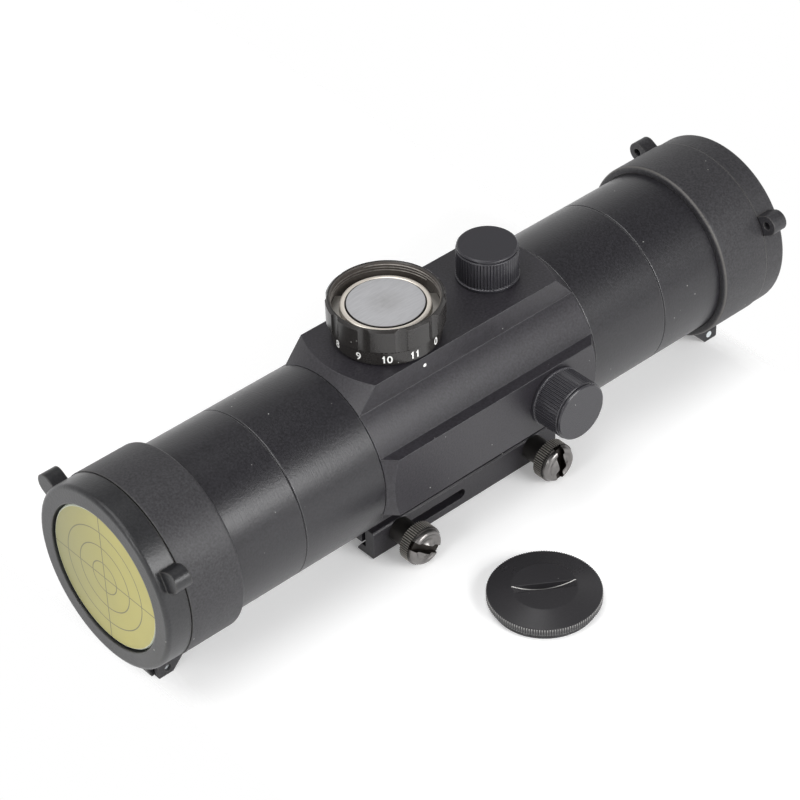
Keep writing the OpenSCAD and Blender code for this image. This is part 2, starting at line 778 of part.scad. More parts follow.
// Plate with a claw under the rail, two screw holes and a long slot
module clamp_jaw() {
  slot_start = -screw_span / 2 + collar_d / 2 + jaw_slot_w / 2;
  slot_run = jaw_slot_l - jaw_slot_w;
  color(black_anodised) difference() {
    translate([-base_l / 2, -jaw_face, 0]) rotate([90, 0, 90]) linear_extrude(base_l)
      polygon([[0, claw_low + jaw_edge], [0, jaw_top - jaw_edge], [jaw_edge, jaw_top], [jaw_t, jaw_top],
        [jaw_t, claw_top], [jaw_t + claw_ledge, claw_top], [claw_reach, claw_tip],
        [claw_reach, claw_low], [jaw_edge, claw_low]]);
    translate([0, 1 - jaw_face + jaw_t, 0]) rotate([90, 0, 0]) {
      for (side = [-1, 1]) translate([side * screw_span / 2, screw_h, 0])
        cylinder(r = shank_d / 2 + run_gap, h = jaw_t + 2);
      for (x = [slot_start, slot_start + slot_run]) translate([x, jaw_slot_h, 0])
        cylinder(d = jaw_slot_w, h = jaw_t + 2);
      translate([slot_start, jaw_slot_h - jaw_slot_w / 2, 0]) cube([slot_run, jaw_slot_w, jaw_t + 2]);
    }
  }
}

// Rise of a thumb screw's face at a radius: broad nose, soft valley, rolled ring
function face_rise(r) =
  r < face_valley_r ? valley_rise + (nose_rise - valley_rise) * pow(cos(90 * r / face_valley_r), 2) :
  r < face_ring_r ? valley_rise
    + (ring_rise - valley_rise) * pow(sin(90 * (r - face_valley_r) / (face_ring_r - face_valley_r)), 2) :
  ring_rise * sqrt(1 - pow((r - face_ring_r) / (head_in_r - face_ring_r), 2));

// Thumb screw: shank, collar, knurled head, turned face and coin slot
module clamp_screw(side, slot_angle) {
  turned = [for (i = [0 : 14]) i * face_ring_r / 15];
  rolled = [for (a = [0 : 15 : 75]) face_ring_r + (head_in_r - face_ring_r) * sin(a)];
  shank_l = jaw_face + screw_end;
  color(black_steel) translate([side * screw_span / 2, -jaw_face, screw_h]) rotate([90, 0, 0]) difference() {
    union() {
      translate([0, 0, -shank_l]) cylinder(d = shank_d, h = shank_l + overlap);
      translate([0, 0, run_gap]) cylinder(d = collar_d, h = collar_l - run_gap + overlap);
      translate([0, 0, collar_l]) knurl(screw_head_d / 2, screw_head_l, head_teeth, knurl_depth);
      translate([0, 0, screw_top]) rotate_extrude() polygon([[0, -overlap],
        for (r = concat(turned, rolled)) [r, face_rise(r)], [head_in_r, 0], [head_in_r, -overlap]]);
    }
    rotate([0, 0, slot_angle]) translate([-screw_head_d, -screw_slot_w / 2, screw_top + screw_slot_floor])
      cube([2 * screw_head_d, screw_slot_w, 2 * nose_rise]);
  }
}

module rear_clamp_screw() { clamp_screw(-1, -33); }
module front_clamp_screw() { clamp_screw(1, 88); }

// Sleeve over the tube's end with the hinge's two ears and their gussets
module cap_sleeve(side) {
  ear_top = ear_root - sleeve_r;
  color(black_moulded) at_end(side) difference() {
    union() {
      tube_turn() {
        translate([sleeve_lip_r, sleeve_back + sleeve_edge_r])
          square([sleeve_r - sleeve_lip_r, sleeve_l - sleeve_edge_r]);
        translate([sleeve_lip_r, sleeve_back]) square([sleeve_r - sleeve_edge_r - sleeve_lip_r, 1]);
        translate([sleeve_r - sleeve_edge_r, sleeve_back + sleeve_edge_r]) circle(sleeve_edge_r, $fn = 48);
      }
      for (y = [hinge_ear_t - hinge_w / 2, hinge_w / 2]) translate([0, y, axis_h]) rotate([90, 0, 0])
        linear_extrude(hinge_ear_t) polygon([[sleeve_front, ear_top], [sleeve_front, ear_cut - foot_low],
          [sleeve_front - ear_cut, -foot_low], [sleeve_front - foot_l, -foot_low],
          [sleeve_front - ear_run, -sleeve_r], [sleeve_front - ear_run, ear_top]]);
    }
    tube_ring(sleeve_back - 1, tube_end + fit_gap, 0, sleeve_in_r);
    tube_ring(tube_end - 1, sleeve_front + 1, 0, sleeve_lip_r);
    hinge_hole(hinge_pin_d + 2 * fit_gap);
  }
}

module hinge_hole(d) {
  translate([hinge_x, -hinge_w, axis_h - hinge_drop]) rotate([-90, 0, 0]) cylinder(d = d, h = 2 * hinge_w);
}

module hinge_pin(side, recess) {
  color(bright_steel) at_end(side) translate([hinge_x, recess - hinge_w / 2, axis_h - hinge_drop])
    rotate([-90, 0, 0]) cylinder(d = hinge_pin_d, h = hinge_w - recess);
}

// Cup lid with rounded rim, two lift lugs and the middle hinge knuckle
module lid(side) {
  arm_w = hinge_w - 2 * hinge_ear_t - 2 * hinge_gap;
  lug_mid = lid_r + lift_lug_h - lift_lug_w / 2;
  lug_low = lid_in_r + 0.5;
  arm_top = 0.9 - lid_r;
  color(black_moulded) at_end(side) difference() {
    union() {
      tube_turn() {
        translate([lid_opening_r, lid_front - lid_wall])
          square([lid_r - lid_edge_r - lid_opening_r, lid_wall]);
        translate([lid_in_r, lid_back]) square([lid_r - lid_in_r, lid_l - lid_edge_r]);
        translate([lid_r - lid_edge_r, lid_front - lid_edge_r]) circle(lid_edge_r, $fn = 48);
      }
      for (a = [-lift_angle, lift_angle]) translate([lid_back, 0, axis_h]) rotate([a, 0, 0])
        rotate([90, 0, 90]) linear_extrude(lift_lug_l) {
          translate([-lift_lug_w / 2, lug_low]) square([lift_lug_w, lug_mid - lug_low]);
          translate([0, lug_mid]) circle(d = lift_lug_w);
        }
      translate([0, arm_w / 2, axis_h]) rotate([90, 0, 0]) linear_extrude(arm_w) {
        translate([hinge_x, -hinge_drop]) circle(knuckle_r);
        polygon([[hinge_x, -foot_low], [lid_back + arm_toe, -foot_low], [lid_back + arm_l, arm_top],
          [lid_back, arm_top], [lid_back, knuckle_r - hinge_drop], [hinge_x, knuckle_r - hinge_drop]]);
      }
    }
    for (a = [-lift_angle, lift_angle]) translate([lid_back - 1, 0, axis_h]) rotate([a, 0, 0])
      translate([0, 0, lug_mid]) rotate([0, 90, 0]) cylinder(d = lift_hole_d, h = lift_lug_l - 0.6);
    hinge_hole(hinge_pin_d + 2 * run_gap);
  }
}

// Amber window: flange behind the lid's wall, raised middle in its opening
module lid_window(side) {
  flange_x = lid_front - lid_wall - window_t;
  face_x = lid_front - window_recess;
  color(amber_clear) at_end(side) tube_turn() polygon([[0, flange_x], [window_r, flange_x],
    [window_r, flange_x + window_t], [window_boss_r, flange_x + window_t], [window_boss_r, face_x - edge_break],
    [window_boss_r - edge_break, face_x], [0, face_x]]);
}

module rear_cap_sleeve() { cap_sleeve(-1); }
module front_cap_sleeve() { cap_sleeve(1); }
module rear_hinge_pin() { hinge_pin(-1, 0.8); }
module front_hinge_pin() { hinge_pin(1, 0); }
module rear_lid() { lid(-1); }
module front_lid() { lid(1); }
module rear_lid_window() { lid_window(-1); }
module front_lid_window() { lid_window(1); }

main_housing();
rear_tube();
front_tube();
eyepiece_tube();
objective_tube();
eyepiece_window();
objective_lens();
eyepiece_seal();
objective_seal();
eyepiece_ring();
objective_ring();
gimbal_ring();
inner_tube();
led_bracket();
led_emitter();
return_spring();
switch_board();
click_ball();
click_spring();
brightness_dial();
dial_wiper();
dial_clip();
battery_contact();
coin_cell();
battery_cap();
battery_cap_seal();
battery_cap_contact();
elevation_seat();
windage_seat();
elevation_adjuster();
windage_adjuster();
elevation_screw();
windage_screw();
elevation_cap();
windage_cap();
clamp_jaw();
rear_clamp_screw();
front_clamp_screw();
rear_cap_sleeve();
front_cap_sleeve();
rear_hinge_pin();
front_hinge_pin();
rear_lid();
front_lid();
rear_lid_window();
front_lid_window();
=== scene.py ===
import math

import bpy
from mathutils import Matrix, Vector


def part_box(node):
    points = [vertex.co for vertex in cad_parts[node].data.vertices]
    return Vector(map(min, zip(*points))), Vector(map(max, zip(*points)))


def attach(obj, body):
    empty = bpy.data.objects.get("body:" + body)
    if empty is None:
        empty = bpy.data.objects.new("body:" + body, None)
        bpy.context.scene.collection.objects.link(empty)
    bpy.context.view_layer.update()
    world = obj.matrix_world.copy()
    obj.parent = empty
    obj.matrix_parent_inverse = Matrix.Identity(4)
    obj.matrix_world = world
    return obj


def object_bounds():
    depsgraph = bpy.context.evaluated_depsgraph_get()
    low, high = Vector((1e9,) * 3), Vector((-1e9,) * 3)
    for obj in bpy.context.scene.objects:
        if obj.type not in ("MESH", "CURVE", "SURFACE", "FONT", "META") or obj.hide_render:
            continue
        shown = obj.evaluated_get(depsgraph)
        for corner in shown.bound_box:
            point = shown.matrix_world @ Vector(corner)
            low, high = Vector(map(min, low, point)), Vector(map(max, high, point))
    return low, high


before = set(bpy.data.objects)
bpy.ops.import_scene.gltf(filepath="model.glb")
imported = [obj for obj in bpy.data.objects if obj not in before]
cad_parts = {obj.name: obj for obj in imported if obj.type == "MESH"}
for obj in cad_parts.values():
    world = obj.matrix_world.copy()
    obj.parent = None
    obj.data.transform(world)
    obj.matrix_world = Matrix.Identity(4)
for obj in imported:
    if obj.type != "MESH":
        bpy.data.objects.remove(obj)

cad_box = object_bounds()
MM = 0.001

# Main housing
# One aluminium forging, turned at its ends and milled flat on top and on one side,
# then bead blasted and dyed black in the anodising bath. The rail base is part of it.


def srgb(hex_code):
    """Linear RGBA from an sRGB hex colour."""
    parts = [int(hex_code[i:i + 2], 16) / 255 for i in (1, 3, 5)]
    linear = [p / 12.92 if p <= 0.04045 else ((p + 0.055) / 1.055) ** 2.4 for p in parts]
    return linear + [1.0]


def add_node(tree, kind, links=None, **settings):
    """Adds a node, sets its properties, and sets or links its inputs."""
    node = tree.nodes.new(kind)
    for name, value in settings.items():
        setattr(node, name, value)
    for socket, value in (links or {}).items():
        if isinstance(value, bpy.types.NodeSocket):
            tree.links.new(value, node.inputs[socket])
        else:
            node.inputs[socket].default_value = value
    return node


def new_material(name):
    """A new material, its node tree, its shader and its object coordinates."""
    material = bpy.data.materials.new(name)
    material.use_nodes = True
    tree = material.node_tree
    shader = tree.nodes["Principled BSDF"]
    place = add_node(tree, "ShaderNodeTexCoord").outputs["Object"]
    return material, tree, shader, place


def finish_nodes(material, *names):
    """Gives CAD nodes their material."""
    for name in names:
        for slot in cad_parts[name].material_slots:
            slot.material = material


def rubbed_edges(tree, radius_mm, samples, flat, sharp, wear_and_highlight):
    """The normal with softly rounded edges, and a mask of those edges for their wear and their
    painted highlight.
    """
    rounded = add_node(tree, "ShaderNodeBevel", {"Radius": radius_mm * MM}, samples=samples)
    facing = add_node(tree, "ShaderNodeNewGeometry")
    turn = add_node(tree, "ShaderNodeVectorMath", {
        0: rounded.outputs["Normal"], 1: facing.outputs["Normal"]}, operation="DOT_PRODUCT")
    edge = add_node(tree, "ShaderNodeMapRange", {
        "Value": turn.outputs["Value"], "From Min": flat, "From Max": sharp, "To Max": wear_and_highlight})
    return rounded.outputs["Normal"], edge.outputs["Result"]


def dust_specks(tree, place, spacing_mm, widest, patches):
    """A mask of dust specks, which lie only where a patchy noise is high."""
    grains = add_node(tree, "ShaderNodeTexVoronoi", {
        "Vector": place, "Scale": 1 / (spacing_mm * MM)})
    speck = add_node(tree, "ShaderNodeMapRange", {
        "Value": grains.outputs["Distance"], "From Min": widest, "From Max": 0.03})
    dusty = add_node(tree, "ShaderNodeMapRange", {
        "Value": patches.outputs["Fac"], "From Min": 0.5, "From Max": 0.6})
    dust = add_node(tree, "ShaderNodeMath", {
        0: speck.outputs["Result"], 1: dusty.outputs["Result"]}, operation="MULTIPLY")
    return dust.outputs["Value"]


def black_anodised(name, dark, light, rough, grit_mm, bite_mm, turned_mm=0, wear_and_highlight=0.8,
                   pale_wear_and_highlight="#77777a", edge_mm=0.25):
    """Dyed oxide on aluminium: a satin black with a blasted grit, cloudy gloss, edges
    painted paler and metallic, partly rubbed wear and partly a painted highlight, and a few
    specks of dust. Turned pieces have fine rings round the tube's axis. The grit is drawn
    coarser than the real one, so that it shows."""
    cloud_mm, dust_spacing_mm, dust_patch_mm = 9, 3.4, 14
    cloud_share = 0.4
    ring_share = 0.4
    gloss_spread = min(0.05, bite_mm)
    material, tree, shader, place = new_material(name)
    grit = add_node(tree, "ShaderNodeTexNoise", {
        "Vector": place, "Scale": 1 / (grit_mm * MM), "Detail": 2})
    pits = add_node(tree, "ShaderNodeMapRange", {
        "Value": grit.outputs["Fac"], "From Min": 0.3, "From Max": 0.7})
    dye = add_node(tree, "ShaderNodeMix", {
        "Factor": pits.outputs["Result"], "A": srgb(dark), "B": srgb(light)}, data_type="RGBA")
    cloud = add_node(tree, "ShaderNodeTexNoise", {
        "Vector": place, "Scale": 1 / (cloud_mm * MM), "Detail": 3})
    rounded, edge = rubbed_edges(tree, edge_mm, samples=12, flat=0.99, sharp=0.8, wear_and_highlight=wear_and_highlight)
    # The edges are painted paler and metallic: partly rubbed wear, partly a painted highlight.
    rubbed_and_highlit = add_node(tree, "ShaderNodeMath", {
        0: edge, 1: cloud.outputs["Fac"]}, operation="MULTIPLY")
    worn_and_highlit = add_node(tree, "ShaderNodeMix", {
        "Factor": rubbed_and_highlit.outputs["Value"], "A": dye.outputs["Result"], "B": srgb(pale_wear_and_highlight)},
        data_type="RGBA")
    patches = add_node(tree, "ShaderNodeTexNoise", {
        "Vector": place, "Scale": 1 / (dust_patch_mm * MM)})
    dust = dust_specks(tree, place, dust_spacing_mm, 0.05, patches)
    colour = add_node(tree, "ShaderNodeMix", {
        "Factor": dust, "A": worn_and_highlit.outputs["Result"], "B": srgb("#a5a5a2")}, data_type="RGBA")
    tree.links.new(colour.outputs["Result"], shader.inputs["Base Color"])
    tree.links.new(rubbed_and_highlit.outputs["Value"], shader.inputs["Metallic"])
    polish = add_node(tree, "ShaderNodeMix", {
        "Factor": cloud_share, "A": pits.outputs["Result"], "B": cloud.outputs["Fac"]})
    gloss = add_node(tree, "ShaderNodeMapRange", {
        "Value": polish.outputs["Result"], "To Min": rough - gloss_spread,
        "To Max": rough + gloss_spread})
    tree.links.new(gloss.outputs["Result"], shader.inputs["Roughness"])
    height = grit.outputs["Fac"]
    if turned_mm:
        split = add_node(tree, "ShaderNodeSeparateXYZ", {"Vector": place})
        rings = add_node(tree, "ShaderNodeTexNoise", {
            "W": split.outputs["X"], "Scale": 1 / (turned_mm * MM), "Detail": 2},
            noise_dimensions="1D")
        height = add_node(tree, "ShaderNodeMath", {
            0: rings.outputs["Fac"], 1: ring_share, 2: height},
            operation="MULTIPLY_ADD").outputs["Value"]
    bump = add_node(tree, "ShaderNodeBump", {
        "Height": height, "Strength": 0.5, "Distance": bite_mm * MM, "Normal": rounded})
    tree.links.new(bump.outputs["Normal"], shader.inputs["Normal"])
    return material


housing_finish = black_anodised("blasted black anodised aluminium", "#1c1a1e", "#2f2d32",
                                rough=0.42, grit_mm=0.5, bite_mm=0.06)
finish_nodes(housing_finish, "main_housing")

# Tube sections
# Four plain tubes that screw into the housing and into each other. They are turned
# from aluminium bar and dyed with the housing, so they are darker and a little smoother.
# Their edges are painted paler than the housing's: partly wear, partly a painted highlight along
# the joints.
tube_finish = black_anodised("turned black anodised aluminium", "#1a191c", "#262529", rough=0.34,
                             grit_mm=0.5, bite_mm=0.055, turned_mm=0.4, wear_and_highlight=1.5, pale_wear_and_highlight="#b4b3b4")
finish_nodes(tube_finish, "rear_tube", "front_tube", "eyepiece_tube", "objective_tube",
             "eyepiece_ring", "objective_ring", "inner_tube", "elevation_seat", "windage_seat")

# Lenses
# The eyepiece is a flat window and the objective carries the thin coating that
# throws the dot back to the eye, which gives it a warm orange cast.


def two_toned(name, patch_mm, dark, light, rough, metal=0, detail=2):
    """A material of two near tones, in the patches of a noise."""
    material, tree, shader, place = new_material(name)
    patches = add_node(tree, "ShaderNodeTexNoise", {
        "Vector": place, "Scale": 1 / (patch_mm * MM), "Detail": detail})
    tone = add_node(tree, "ShaderNodeMix", {
        "Factor": patches.outputs["Fac"], "A": srgb(dark), "B": srgb(light)}, data_type="RGBA")
    tree.links.new(tone.outputs["Result"], shader.inputs["Base Color"])
    shader.inputs["Metallic"].default_value = metal
    shader.inputs["Roughness"].default_value = rough
    return material


glass = two_toned("coated optical glass", 6, "#e8b184", "#f0c39a", rough=0.02)
shader = glass.node_tree.nodes["Principled BSDF"]
shader.inputs["Transmission Weight"].default_value = 0.85
shader.inputs["IOR"].default_value = 1.52
finish_nodes(glass, "eyepiece_window", "objective_lens")

# Seal rings
# Black nitrile rings under both lenses and round the battery cap's neck, with the dry
# grey bloom of moulded rubber.
nitrile = two_toned("black nitrile rubber", 1.5, "#141414", "#1f1f1f", rough=0.7)
finish_nodes(nitrile, "eyepiece_seal", "objective_seal", "battery_cap_seal")

# Diode and switch board
# The diode is a clear red lamp pushed into a small moulded block. The board is a
# lacquered glass-fibre disc under the dial, whose weave is drawn coarse, so that it shows.
lamp = two_toned("clear red acrylic", 1, "#b01812", "#d0281e", rough=0.15)
finish_nodes(lamp, "led_emitter")

fibre_mm = 0.5
lacquer, tree, shader, place = new_material("green lacquered glass fibre")
weave = add_node(tree, "ShaderNodeTexChecker", {
    "Vector": place, "Scale": 1 / (fibre_mm * MM), "Color1": srgb("#1c5a34"),
    "Color2": srgb("#23663c")})
tree.links.new(weave.outputs["Color"], shader.inputs["Base Color"])
shader.inputs["Roughness"].default_value = 0.35
finish_nodes(lacquer, "switch_board")

# Gimbal ring, wiper and adjuster drums
# Turned or stamped brass, left bright, with the cloudy tarnish of handled parts. The
# drums carry a coin slot under the caps.
brass = two_toned("turned brass", 0.8, "#b18f4a", "#cfae66", rough=0.3, metal=1, detail=4)
finish_nodes(brass, "gimbal_ring", "dial_wiper", "elevation_adjuster", "windage_adjuster")

# Springs, clip, contacts and lead screws
# Small bright steel parts, most of them inside. The well's contact shows as two pale
# tabs beside the cell, with a fine rolled grain.
steel = two_toned("bright rolled steel", 0.5, "#bcb8b2", "#d6d2cb", rough=0.35, metal=1, detail=4)
finish_nodes(steel, "return_spring", "click_ball", "click_spring", "dial_clip", "battery_contact",
             "battery_cap_contact", "elevation_screw", "windage_screw")

# Coin cell
# A pressed nickel-plated can round a flat grey face with a brushed and slightly fingered
# centre. Its rolled lip is painted warm and bright, partly its own tone and partly a painted
# highlight. It lies in the dial's open well.


def from_axis(tree, place, middle, across):
    """Coordinates from a piece's axis, flattened to the plane across it, and their length."""
    flat = add_node(tree, "ShaderNodeMapping", {
        "Vector": place, "Scale": across, "Location": [-m * a for m, a in zip(middle, across)]})
    reach = add_node(tree, "ShaderNodeVectorMath", {0: flat.outputs["Vector"]}, operation="LENGTH")
    return flat.outputs["Vector"], reach.outputs["Value"]


low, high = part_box("coin_cell")
cell_middle = (low + high) / 2
cell_face_radius = 8.75 * MM
lip_blur = 0.05 * MM
seam_edge, seam_core = 0.24 * MM, 0.12 * MM
fingered_edge, fingered_core = 5 * MM, 1.5 * MM
brush_mm, smudge_mm = 0.3, 1.3
brush_bearing = math.radians(35)
nickel, tree, shader, place = new_material("brushed nickel plate")
_, reach = from_axis(tree, place, cell_middle, (1, 1, 0))
highlit_lip = add_node(tree, "ShaderNodeMapRange", {
    "Value": reach, "From Min": cell_face_radius - lip_blur,
    "From Max": cell_face_radius + lip_blur})
stretch = add_node(tree, "ShaderNodeMapping", {
    "Vector": place, "Scale": (0.1, 1, 1), "Rotation": (0, 0, brush_bearing)})
brushing = add_node(tree, "ShaderNodeTexNoise", {
    "Vector": stretch.outputs["Vector"], "Scale": 1 / (brush_mm * MM), "Detail": 3})
smudge = add_node(tree, "ShaderNodeTexNoise", {
    "Vector": place, "Scale": 1 / (smudge_mm * MM), "Detail": 5})
middle = add_node(tree, "ShaderNodeMapRange", {
    "Value": reach, "From Min": fingered_edge, "From Max": fingered_core, "To Max": 0.5})
fingered = add_node(tree, "ShaderNodeMath", {
    0: smudge.outputs["Fac"], 1: middle.outputs["Result"]}, operation="MULTIPLY")
face_tone = add_node(tree, "ShaderNodeMix", {
    "Factor": brushing.outputs["Fac"], "A": srgb("#b2b2b5"), "B": srgb("#d0d0d2")},
    data_type="RGBA")
marked = add_node(tree, "ShaderNodeMix", {
    "Factor": fingered.outputs["Value"], "A": face_tone.outputs["Result"], "B": srgb("#8f8d8b")},
    data_type="RGBA")
# The rolled lip painted warm and near-white: partly its own tone, partly a painted highlight.
rolled_lip_highlit = add_node(tree, "ShaderNodeMix", {
    "Factor": highlit_lip.outputs["Result"], "A": marked.outputs["Result"], "B": srgb("#f0e8dd")},
    data_type="RGBA")
off_seam = add_node(tree, "ShaderNodeMath", {0: reach, 1: cell_face_radius}, operation="SUBTRACT")
from_seam = add_node(tree, "ShaderNodeMath", {0: off_seam.outputs["Value"]}, operation="ABSOLUTE")
seam = add_node(tree, "ShaderNodeMapRange", {
    "Value": from_seam.outputs["Value"], "From Min": seam_edge, "From Max": seam_core})
tone = add_node(tree, "ShaderNodeMix", {
    "Factor": seam.outputs["Result"], "A": rolled_lip_highlit.outputs["Result"], "B": srgb("#2a2724")},
    data_type="RGBA")
tree.links.new(tone.outputs["Result"], shader.inputs["Base Color"])
gloss = add_node(tree, "ShaderNodeMapRange", {
    "Value": highlit_lip.outputs["Result"], "To Min": 0.45, "To Max": 0.3})
tree.links.new(gloss.outputs["Result"], shader.inputs["Roughness"])
shader.inputs["Metallic"].default_value = 0.6
finish_nodes(nickel, "coin_cell")

# Brightness dial
# Turned aluminium with milled grip scallops, anodised black. Its well is threaded for
# the battery cap. The numbers are filled with white paint round the band, one a click.


def reopened(material):
    """A finished material's node tree, shader, colour so far and object coordinates."""
    tree = material.node_tree
    shader = tree.nodes["Principled BSDF"]
    colour = shader.inputs["Base Color"].links[0].from_socket
    place = add_node(tree, "ShaderNodeTexCoord").outputs["Object"]
    return tree, shader, colour, place


low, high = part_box("brightness_dial")
dial_middle = (low + high) / 2
dial_radius = (high.x - low.x) / 2
band_radius = dial_radius - 0.95 * MM
dial_foot = high.z - 9.9 * MM
band_top = dial_foot + 4 * MM
band_blur = 0.5 * MM
well_radius = 12 * MM
wall_near, wall_far = 0.05 * MM, 0.3 * MM
# The dial's edges are painted paler: partly wear, partly a painted highlight along the flutes.
dial_finish = black_anodised("satin black anodised aluminium", "#232120", "#272524", rough=0.26,
                             grit_mm=0.4, bite_mm=0.004, wear_and_highlight=1.2, pale_wear_and_highlight="#8d8986", edge_mm=0.06)
tree, shader, dyed, place = reopened(dial_finish)
_, reach = from_axis(tree, place, dial_middle, (1, 1, 0))
# The well's inner wall above the band is painted a paler brown, painted light that lifts the
# well's shade.
inside = add_node(tree, "ShaderNodeMapRange", {
    "Value": reach, "From Min": well_radius + wall_far, "From Max": well_radius + wall_near})
split = add_node(tree, "ShaderNodeSeparateXYZ", {"Vector": place})
above_band = add_node(tree, "ShaderNodeMapRange", {
    "Value": split.outputs["Z"], "From Min": band_top, "From Max": band_top + band_blur,
    "To Max": 0.7})
in_well = add_node(tree, "ShaderNodeMath", {
    0: inside.outputs["Result"], 1: above_band.outputs["Result"]}, operation="MULTIPLY")
tone = add_node(tree, "ShaderNodeMix", {
    "Factor": in_well.outputs["Value"], "A": dyed, "B": srgb("#4b4642")}, data_type="RGBA")
tree.links.new(tone.outputs["Result"], shader.inputs["Base Color"])
finish_nodes(dial_finish, "brightness_dial")


def thread_ridge(name, axis, radius, foot, pitch, turns, apex_out):
    """A thread's ridge wound up an upright wall, its crest turned out or in."""
    crest = 0.22 * MM
    steps_a_turn = 96
    crest_turn = math.pi / 2 if apex_out else -math.pi / 2
    bpy.ops.object.select_all(action="DESELECT")
    bpy.ops.mesh.primitive_circle_add(vertices=3, radius=crest, location=(radius, 0, foot),
                                      rotation=(math.pi / 2, crest_turn, 0))
    ridge = bpy.context.object
    ridge.name = name
    bpy.ops.object.transform_apply(location=True, rotation=True, scale=True)
    winding = ridge.modifiers.new("winding", "SCREW")
    winding.angle = 2 * math.pi * turns
    winding.screw_offset = pitch * turns
    winding.steps = winding.render_steps = int(steps_a_turn * turns)
    winding.use_smooth_shade = False
    bpy.ops.object.modifier_apply(modifier="winding")
    bpy.ops.object.mode_set(mode="EDIT")
    bpy.ops.mesh.select_all(action="SELECT")
    bpy.ops.mesh.fill_holes(sides=3)
    bpy.ops.mesh.normals_make_consistent(inside=False)
    bpy.ops.transform.translate(value=(axis.x, axis.y, 0))
    bpy.ops.object.mode_set(mode="OBJECT")
    bpy.ops.object.shade_smooth_by_angle(angle=math.radians(30))
    return ridge


well_thread = thread_ridge("dial_well_thread", dial_middle, well_radius, foot=high.z - 2.2 * MM,
                           pitch=0.7 * MM, turns=2.2, apex_out=False)
cut_thread = two_toned("bare cut aluminium", 0.9, "#4c4844", "#8d8883", rough=0.35, metal=0.7,
                       detail=3)
well_thread.data.materials.append(cut_thread)
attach(well_thread, "dial")

number_height = 1.85 * MM
number_level = dial_foot + 1.6 * MM
numbers_round = 12
first_number = math.radians(-71.2)
character_step = 0.66 * number_height
capital_share = 0.7
stroke_gain = 0.018 * number_height
paint_stand = 0.03 * MM
flag_reach = 0.3 * number_height
flag_width = 0.55
flag_drop = 0.75 * flag_reach
flag_turn = math.radians(-35)
characters = []
for number in range(numbers_round):
    word = str(number)
    bearing = first_number + number * math.radians(360 / numbers_round)
    for position, character in enumerate(word):
        bpy.ops.object.select_all(action="DESELECT")
        bpy.ops.object.text_add()
        digit = bpy.context.object
        digit.data.body = character
        digit.data.align_x = "CENTER"
        digit.data.align_y = "CENTER"
        digit.data.size = number_height / capital_share
        digit.data.offset = stroke_gain
        digit.data.resolution_u = 4
        bpy.ops.object.convert(target="MESH")
        if character == "1":
            top = max(v.co.y for v in digit.data.vertices)
            left = min(v.co.x for v in digit.data.vertices)
            flag_place = (left, top - flag_drop, 0)
            bpy.ops.object.mode_set(mode="EDIT")
            bpy.ops.mesh.primitive_plane_add(size=flag_reach, location=flag_place)
            bpy.ops.transform.resize(value=(1, flag_width, 1), center_override=flag_place)
            bpy.ops.transform.rotate(value=flag_turn, orient_axis="Z", center_override=flag_place)
            bpy.ops.object.mode_set(mode="OBJECT")
        along = (position - (len(word) - 1) / 2) * character_step
        for vertex in digit.data.vertices:
            turn = bearing + (along + vertex.co.x) / band_radius
            out = band_radius + paint_stand
            vertex.co = (dial_middle.x + out * math.cos(turn),
                         dial_middle.y + out * math.sin(turn), number_level + vertex.co.y)
        characters.append(digit)
bpy.ops.object.select_all(action="DESELECT")
for digit in characters:
    digit.select_set(True)
bpy.context.view_layer.objects.active = characters[0]
bpy.ops.object.join()
dial_numbers = bpy.context.object
dial_numbers.name = "dial_numbers"
white_paint = two_toned("white filled paint", 0.4, "#e6e6e2", "#fafaf8", rough=0.6)
dial_numbers.data.materials.append(white_paint)
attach(dial_numbers, "dial")

# Index dot
# A drop of white paint on the housing beside the dial that the numbers are read against.
# It dried as a low dome.
axis_height = 25.6 * MM
dot_radius = 0.45 * MM
dome_share = 0.25
dot_place = Vector((-12.6 * MM, -12.2 * MM, axis_height + 19.7 * MM))
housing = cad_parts["main_housing"]
_, dot_seat, dot_normal, _ = housing.closest_point_on_mesh(dot_place)
bpy.ops.object.select_all(action="DESELECT")
bpy.ops.mesh.primitive_uv_sphere_add(segments=24, ring_count=12, radius=dot_radius)
index_dot = bpy.context.object
index_dot.name = "index_dot"
bpy.ops.object.mode_set(mode="EDIT")
bpy.ops.mesh.select_all(action="SELECT")
bpy.ops.mesh.bisect(plane_co=(0, 0, 0), plane_no=(0, 0, 1), clear_inner=True, use_fill=True)
bpy.ops.mesh.select_all(action="SELECT")
bpy.ops.transform.resize(value=(1, 1, dome_share), center_override=(0, 0, 0))
bpy.ops.object.mode_set(mode="OBJECT")
dot_lean = dot_normal.to_track_quat("Z", "Y").to_matrix().to_4x4()
index_dot.data.transform(Matrix.Translation(dot_seat) @ dot_lean)
bpy.ops.object.shade_smooth_by_angle(angle=math.radians(40))
index_dot.data.materials.append(white_paint)
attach(index_dot, "sight_body")

# Turret caps
# Two ribbed dust caps, turned, straight knurled and anodised with the dial. They are
# screwed over the adjusters by hand. Their edges are painted paler, partly wear and partly a
# painted highlight along the top lip and the ribs.
turret_finish = black_anodised("knurled black anodised aluminium", "#262529", "#29282d",
                               rough=0.24, grit_mm=0.4, bite_mm=0.004, wear_and_highlight=0.9, pale_wear_and_highlight="#88878b")
finish_nodes(turret_finish, "elevation_cap", "windage_cap")

# Rail clamp
# A milled jaw in the body's finish, drawn in by two thumb screws of steel. Their black
# oxide is glossy on the turned face and dry and dark on the collar. The slot is painted dark, a
# painted shade. The knurl's valleys are painted dark, a painted shade, and its tips pale, partly
# rubbed bare steel and partly a painted highlight.
jaw_finish = black_anodised("milled black anodised aluminium", "#1e1c20", "#2f2d31", rough=0.4,
                            grit_mm=0.5, bite_mm=0.05)
finish_nodes(jaw_finish, "clamp_jaw")

